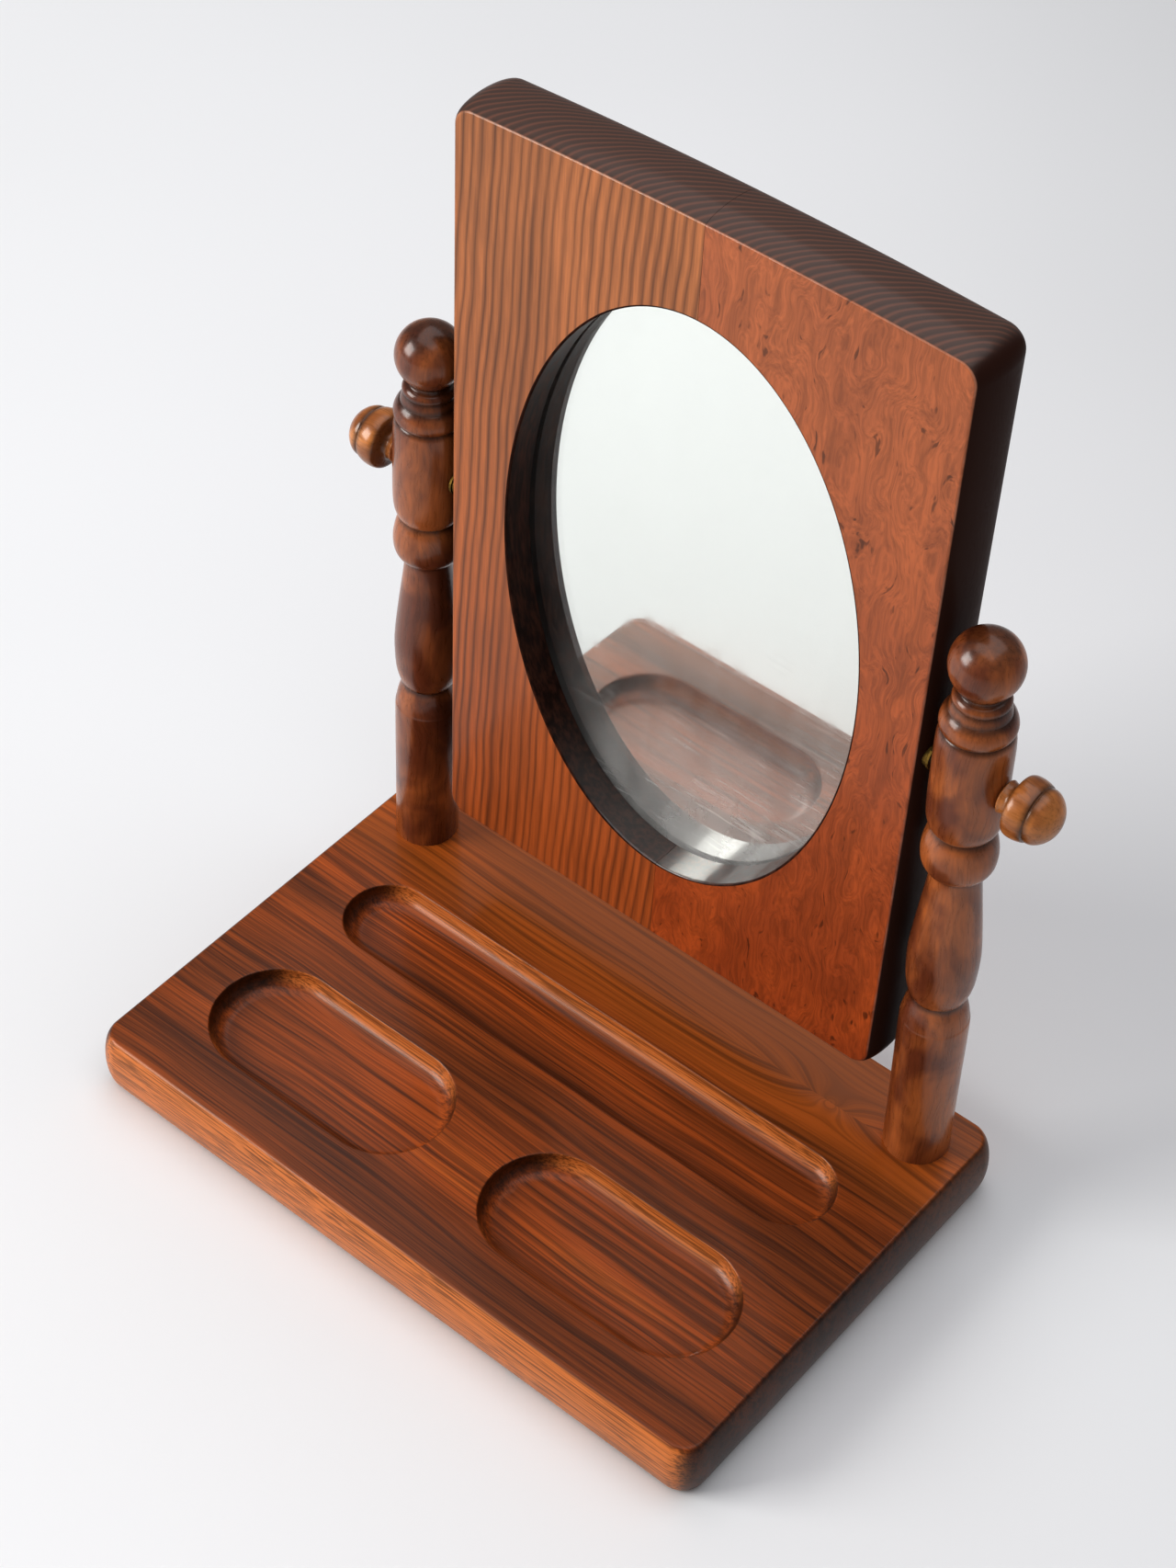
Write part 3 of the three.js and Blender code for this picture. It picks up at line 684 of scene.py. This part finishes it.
def bore_around(piece, node, radius, below, above):
    """Cuts a hole along X around a CAD node, past its low and high ends by the given lengths."""
    low, high = millimetres(node)
    middle = (low + high) / 2
    start = Vector((low.x - below, middle.y, middle.z))
    stop = Vector((high.x + above, middle.y, middle.z))
    bore(piece, radius, start, stop)


# Tray

TRAY_CORNER = 11.0
TRAY_BULGE = 4.0
BULGE_STEPS = 20
FELT_INSET = 3.0
FELT_LOWER_ARRIS = 0.25
FELT_UPPER_ARRIS = 0.1
RECESS_DEPTH = 8.0
RECESS_COVE = 6.5
COVE_STEPS = 10
RECESS_LIP = 0.7
RIM_STEPS = 3
RECESSES = [(0.0, 22.5, 228.0, 35.0), (-66.5, -42.0, 106.0, 50.0), (66.5, -42.0, 106.0, 50.0)]
CHATTER = 0.16
CHATTER_RATE = 0.9


def half_ellipse(inset, low, high):
    """(inset, level) pairs of a bulging edge, from its foot to its top."""
    angles = [math.radians(180 * i / BULGE_STEPS - 90) for i in range(BULGE_STEPS + 1)]
    middle = (low + high) / 2
    return [(inset * (1 - math.cos(a)), middle + (high - low) / 2 * math.sin(a)) for a in angles]


def chattered(outline, centre_x):
    """The router left tiny torn notches in the rim where it crossed the end grain."""
    torn = []
    for x, y in outline:
        tear = noise.noise(Vector((0.0, y * CHATTER_RATE, centre_x))) * CHATTER
        torn.append((x + tear * math.copysign(1.0, x - centre_x), y))
    return torn


def make_tray(material):
    low, high = millimetres("base_board")
    solid = Solid()
    edge = half_ellipse(TRAY_BULGE, low.z, high.z)
    under, upper = solid.stack(rounded_rectangle(low, high, TRAY_CORNER), edge)
    floor = high.z - RECESS_DEPTH
    lip = [(-inset, high.z - drop) for inset, drop in quarter(RECESS_LIP, RIM_STEPS)]
    cove = [(inset, floor + drop) for inset, drop in reversed(quarter(RECESS_COVE, COVE_STEPS))]
    rims = []
    for centre_x, centre_y, length, width in RECESSES:
        rim = stadium(centre_x, centre_y, length, width)
        rim_ring, floor_ring = solid.stack(chattered(rim, centre_x), lip + cove)
        solid.fill(floor_ring)
        rims.append(rim_ring)
    solid.fill(upper, *rims)
    solid.fill(under)
    place(solid.piece("tray", [material]), "base_board", "base", "base_wood")


def make_felt(material):
    low, high = millimetres("base_felt")
    solid = Solid()
    outline = rounded_rectangle(low, high, TRAY_CORNER - FELT_INSET)
    lower_edge = [(FELT_LOWER_ARRIS, low.z), (0.0, low.z + FELT_LOWER_ARRIS)]
    upper_edge = [(0.0, high.z - FELT_UPPER_ARRIS), (FELT_UPPER_ARRIS, high.z)]
    under, upper = solid.stack(outline, lower_edge + upper_edge)
    solid.fill(under)
    solid.fill(upper)
    place(solid.piece("felt_sheet", [material]), "base_felt", "base", "base_felt")


# Posts, as runs of (height above the tray, radius) with a crisp line where one run meets the next.
# The foot starts a little below the tray's surface, so that no gap shows under it.

FOOT = [(-0.4, 12.2), (0.3, 12.3), (1.5, 12.3), (5, 12.3), (20, 12.2), (65, 12.4), (72, 12.0), (77, 11.1),
        (80.5, 9.9), (82.5, 9.4)]
VASE = [(82.5, 9.4), (85, 10.7), (90, 11.9), (96, 12.4), (102.5, 12.6), (108, 12.4), (115, 11.8),
        (125, 10.8), (135, 9.7), (141, 9.1), (145, 8.9), (147, 9.0)]
BEAD = [(147, 9.0), (148.6, 11.2), (151.5, 12.6), (155.5, 13.0), (159, 12.7), (163, 11.8), (166.5, 10.2)]
BARREL = [(166.5, 10.2), (167.6, 11.2), (169.2, 12.0), (172, 12.7), (176, 13.0), (182, 13.1), (200, 13.1),
          (206, 13.0), (209.5, 12.7), (211.2, 12.2), (212, 11.7)]
SHOULDER = [(212, 11.7), (212.7, 12.3), (214.2, 12.8), (216, 12.7), (218, 12.0), (219.6, 11.0),
            (220.2, 10.4)]
RING = [(220.2, 10.4), (221.5, 10.1), (223, 9.6), (224, 9.2)]
NECK = [(224, 9.2), (224.7, 9.7), (225.9, 9.6), (227.1, 8.8), (227.9, 7.6), (228.7, 7.4), (229.6, 7.6)]
GROOVES = [82.5, 147.0, 166.5, 212.0, 220.2, 224.0, 228.4]
GROOVE_DARKENING_WIDTH = 2.6
BALL_RADIUS = 12.4
BALL_HEIGHT = 239.4
POLE_RADIUS = 0.02
END_GRAIN_HEIGHT = 246.0


def ball_run():
    start = math.asin((NECK[-1][0] - BALL_HEIGHT) / BALL_RADIUS)
    angles = [start + (math.pi / 2 - start) * i / BALL_STEPS for i in range(BALL_STEPS + 1)]
    return [
        (BALL_HEIGHT + BALL_RADIUS * math.sin(a), max(BALL_RADIUS * math.cos(a), POLE_RADIUS))
        for a in angles
    ]


def post_placing(side):
    """From the turning's own heights to the row frame: foot on its screw, pole where the CAD has it."""
    screw_low, screw_high = millimetres(f"{side}_post_screw")
    foot = Vector((*((screw_low + screw_high) / 2).xy, tray_top))
    vertices = frame["nodes"][f"{side}_post"].data.vertices
    pole = max((vertex.co for vertex in vertices), key=lambda spot: spot.z)
    lean = Vector((0, 0, 1)).rotation_difference(pole / MM - foot)
    return Matrix.Translation(foot) @ lean.to_matrix().to_4x4()


def make_post(side, material):
    node = f"{side}_post"
    low, high = millimetres(node)
    runs = [smooth_run(run) for run in (FOOT, VASE, BEAD, BARREL, SHOULDER, RING, NECK)]
    profile = [point for run in runs for point in run] + ball_run()[1:]
    piece = lathe(f"{side}_turned_post", profile, post_placing(side), material)
    bolt_low, bolt_high = millimetres(f"{side}_pivot_bolt")
    axis = (bolt_low + bolt_high) / 2
    reach = Vector((low.x - high.x, 0, 0))
    centre = Vector(((low.x + high.x) / 2, axis.y, axis.z))
    bore(piece, BOLT_BORE, centre + reach, centre - reach)
    place(piece, node, "base", "post_wood")


# Knobs, as runs of (distance from the post, radius)

KNOB_RUNS = [
    [(0.0, 5.6), (0.5, 6.0), (1.4, 5.7), (2.8, 5.6), (3.8, 6.1), (4.4, 7.3), (4.7, 9.3)],
    [(4.7, 9.3), (5.2, 10.3), (6.2, 10.8), (7.5, 11.0), (9.5, 10.95), (11.3, 10.6), (12.4, 10.2)],
    [(12.4, 10.2), (12.8, 9.65), (13.3, 9.8)],
    [(13.3, 9.8), (14.3, 9.75), (15.5, 9.4), (17.0, 8.5), (18.5, 7.1), (19.8, 5.2), (20.6, 3.2), (21.0, 1.3),
     (21.1, POLE_RADIUS)],
]
KNOB_GROOVES = [4.2, 12.9]


def side_sign(side):
    return {"left": -1, "right": 1}[side]


def make_knob(side, material):
    node = f"{side}_knob"
    low, high = millimetres(node)
    middle = (low + high) / 2
    inner = low.x if side == "right" else high.x
    outwards = Matrix.Rotation(side_sign(side) * math.pi / 2, 4, "Y")
    to_row = Matrix.Translation((inner, middle.y, middle.z)) @ outwards
    profile = [point for run in KNOB_RUNS for point in smooth_run(run)]
    piece = lathe(f"{side}_turned_knob", profile, to_row, material)
    bore_around(piece, f"{side}_pivot_bolt", GLUED_BOLT_BORE, HOLE_CLEARANCE, HOLE_CLEARANCE)
    place(piece, node, f"{side}_clamp_knob", "knob_wood")


# Mirror frame, drawn upright about the pivot: x to the right, y up, and the level towards the viewer

MIRROR_TILT = math.radians(2)
FRAME_FRONT = 7.0
FRAME_BACK = -19.0
FRAME_CORNER = 9.5
FRAME_CROWN = 2.3
CROWN_STEPS = 24
FRAME_TOP_HALF_WIDTH = 102.3
FRAME_BOTTOM_HALF_WIDTH = 100.3
FRAME_TOP = 161.97
FRAME_BOTTOM = -155.1
FRAME_BULGE = 3.3
OVAL = (74.3, 120.0, 3.8)
REBATE_LEDGE = 8.0
REBATE_ARRIS = 0.4
LIP_ROUND = 0.8
GLUE_GAP = 0.1
PLATE_MARGIN = 7.4
PLATE_ARRIS = 0.3
GLASS_SEAT_GAP = 0.02


def pivot():
    """The middle of the mirror's axis, midway between the posts."""
    joint = next(j for j in frame["joints"] if j["name"] == "mirror_tilt")
    return Vector(joint["pos_m"]) / MM


def to_mirror_row():
    """From the frame's own upright drawing to the row frame, tilted back about the pivot."""
    stand_up = Matrix.Rotation(math.pi / 2, 4, "X")
    return Matrix.Translation(pivot()) @ Matrix.Rotation(-MIRROR_TILT, 4, "X") @ stand_up


def frame_outline():
    """Sides that spread upwards, quarter-round corners and a crowned top."""
    shoulder = FRAME_TOP - FRAME_CROWN
    corners = [
        arc(FRAME_TOP_HALF_WIDTH - FRAME_CORNER, shoulder - FRAME_CORNER, FRAME_CORNER, 0, 90),
        arc(FRAME_CORNER - FRAME_TOP_HALF_WIDTH, shoulder - FRAME_CORNER, FRAME_CORNER, 90, 180),
        arc(FRAME_CORNER - FRAME_BOTTOM_HALF_WIDTH, FRAME_BOTTOM + FRAME_CORNER, FRAME_CORNER, 180, 270),
        arc(FRAME_BOTTOM_HALF_WIDTH - FRAME_CORNER, FRAME_BOTTOM + FRAME_CORNER, FRAME_CORNER, 270, 360),
    ]
    reach = FRAME_TOP_HALF_WIDTH - FRAME_CORNER
    xs = [reach * (1 - 2 * i / CROWN_STEPS) for i in range(1, CROWN_STEPS)]
    crown = [(x, shoulder + FRAME_CROWN * (1 - (x / reach) ** 2)) for x in xs]
    return corners[0] + crown + corners[1] + corners[2] + corners[3]


def make_frame_boards(left_material, right_material, well_material):
    ledge = plate_levels("mirror_glass")[0] + GLASS_SEAT_GAP
    solid = Solid(to_mirror_row())
    edge = half_ellipse(FRAME_BULGE, FRAME_BACK, FRAME_FRONT)
    outer_back, outer_front = solid.stack(frame_outline(), edge)
    opening = oval(*OVAL)
    lip = [(-inset, FRAME_FRONT - drop) for inset, drop in quarter(LIP_ROUND)]
    well = lip + [(0.0, ledge), (-REBATE_LEDGE, ledge), (-REBATE_LEDGE, FRAME_BACK + REBATE_ARRIS)]
    outside = len(solid.mesh.faces)
    opening_front, opening_back = solid.stack(opening, well + [(-REBATE_LEDGE - REBATE_ARRIS, FRAME_BACK)])
    solid.mesh.faces.ensure_lookup_table()
    for face in solid.mesh.faces[outside:]:
        face.material_index = 1
    solid.fill(outer_front, opening_front)
    solid.fill(outer_back, opening_back)
    bmesh.ops.recalc_face_normals(solid.mesh, faces=solid.mesh.faces)
    halves = {"left": (solid.mesh.copy(), left_material, "frame_striped_wood"),
              "right": (solid.mesh, right_material, "frame_figured_wood")}
    for side, (mesh, material, slot) in halves.items():
        sign = side_sign(side)
        cut = bmesh.ops.bisect_plane(
            mesh, geom=mesh.verts[:] + mesh.edges[:] + mesh.faces[:], dist=MERGE_DISTANCE,
            plane_co=((pivot().x + sign * GLUE_GAP / 2) * MM, 0, 0), plane_no=(sign, 0, 0), clear_inner=True)
        rim = [item for item in cut["geom_cut"] if isinstance(item, bmesh.types.BMEdge)]
        bmesh.ops.triangle_fill(mesh, edges=rim, use_beauty=True)
        half = Solid()
        half.mesh = mesh
        piece = half.piece(f"{side}_mirror_board", [material, well_material])
        below, above = (BORE_OUT, INSERT_HOLE_EXTRA) if side == "left" else (INSERT_HOLE_EXTRA, BORE_OUT)
        bore_around(piece, f"{side}_thread_insert", INSERT_BORE, below, above)
        place(piece, f"frame_{side}_board", "mirror_frame", slot)


def plate_levels(node):
    """The front and back level of an oval plate in the frame's own drawing."""
    back_to_drawing = to_mirror_row().inverted()
    levels = [(back_to_drawing @ (vertex.co / MM)).z for vertex in frame["nodes"][node].data.vertices]
    return max(levels), min(levels)


def make_oval_plate(name, node, slot, materials):
    front, back = plate_levels(node)
    solid = Solid(to_mirror_row())
    outline = offset(oval(*OVAL), -PLATE_MARGIN)
    front_edge = [(PLATE_ARRIS, front), (0.0, front - PLATE_ARRIS)]
    back_edge = [(0.0, back + PLATE_ARRIS), (PLATE_ARRIS, back)]
    front_ring, back_ring = solid.stack(outline, front_edge + back_edge)
    solid.fill(front_ring)
    solid.fill(back_ring)
    piece = solid.piece(name, materials)
    place(piece, node, "mirror_frame", slot)
    return piece


def make_mirror(glass, silver):
    piece = make_oval_plate("bevelled_glass", "mirror_glass", "silvered_glass", [glass, silver])
    facing_back = to_mirror_row().to_3x3() @ Vector((0, 0, -1))
    for face in piece.data.polygons:
        if face.normal.dot(facing_back) > 0.9:
            face.material_index = 1


def paint_cad(names, material):
    for name in names:
        node = frame["nodes"][name]
        node.data.materials.clear()
        node.data.materials.append(material)


# Stage and light, in metres

FLOOR_SIZE = 8.0
LIGHT_AIM = Vector((0, 0, 0.15))
WINDOW_FROM = Vector((-0.66, -0.675, 0.42))
WINDOW_DISTANCE = 2.6
WINDOW_SIZE = 1.3
WINDOW_WATTS = 58.0
CEILING_PLACE = (0, 0.3, 2.4)
CEILING_SIZE = 3.0
CEILING_WATTS = 42.0
ROOM_LIGHT = 0.3
CONTRAST = 0.85


def make_floor(material):
    half = FLOOR_SIZE / 2
    data = bpy.data.meshes.new("floor")
    corners = [(-half, -half, 0), (half, -half, 0), (half, half, 0), (-half, half, 0)]
    data.from_pydata(corners, [], [(0, 1, 2, 3)])
    data.materials.append(material)
    floor = bpy.data.objects.new("floor", data)
    bpy.context.scene.collection.objects.link(floor)


def make_area_light(name, place_at, aim_at, size, watts, tint):
    data = bpy.data.lights.new(name, "AREA")
    data.shape = "SQUARE"
    data.size = size
    data.energy = watts
    data.color = colour(tint)[:3]
    light = bpy.data.objects.new(name, data)
    light.location = place_at
    light.rotation_euler = (Vector(place_at) - Vector(aim_at)).to_track_quat("Z", "Y").to_euler()
    bpy.context.scene.collection.objects.link(light)


def make_room():
    world = bpy.data.worlds.new("room")
    world.use_nodes = True
    background = world.node_tree.nodes["Background"]
    background.inputs["Color"].default_value = colour("f7f7f8")
    background.inputs["Strength"].default_value = ROOM_LIGHT
    bpy.context.scene.world = world
    bpy.context.scene.view_settings.view_transform = "Standard"
    bpy.context.scene.view_settings.gamma = CONTRAST
    window = LIGHT_AIM + WINDOW_FROM.normalized() * WINDOW_DISTANCE
    make_area_light("window", window, LIGHT_AIM, WINDOW_SIZE, WINDOW_WATTS, "fffdfa")
    make_area_light("ceiling", CEILING_PLACE, LIGHT_AIM, CEILING_SIZE, CEILING_WATTS, "fbfbff")


# Assembly


def height_above_tray(graph):
    return graph.math("SUBTRACT", graph.z, tray_top)


def distance_from_post(graph):
    middle = pivot().x
    reach = graph.math("ABSOLUTE", graph.math("SUBTRACT", graph.x, middle))
    return graph.math("SUBTRACT", reach, millimetres("right_knob")[0].x - middle)


make_tray(tray_wood())
make_felt(felt())
post_wood = turned_wood("post_wood", "a8602f", "68331a", height_above_tray, GROOVES, "Z", END_GRAIN_HEIGHT)
knob_wood = turned_wood("knob_wood", "c58043", "8e5326", distance_from_post, KNOB_GROOVES, "X")
for side_name in ("left", "right"):
    make_post(side_name, post_wood)
    make_knob(side_name, knob_wood)
make_frame_boards(striped_wood(), figured_wood(), well_wood())
make_mirror(clear_glass(), silvering())
make_oval_plate("backing_panel", "backing_board", "hardboard", [hardboard()])
steel = brushed_metal("plated_steel", "b9bcc0", 0.28)
paint_cad([f"{side}_{part}" for side in ("left", "right") for part in ("pivot_bolt", "post_screw")], steel)
paint_cad([name for name in frame["nodes"] if name.startswith("brad_")], steel)
brass = brushed_metal("turned_brass", "7d6531", 0.35)
paint_cad([f"{side}_{part}" for side in ("left", "right") for part in ("spacer", "thread_insert")], brass)
make_floor(table_top())
make_room()
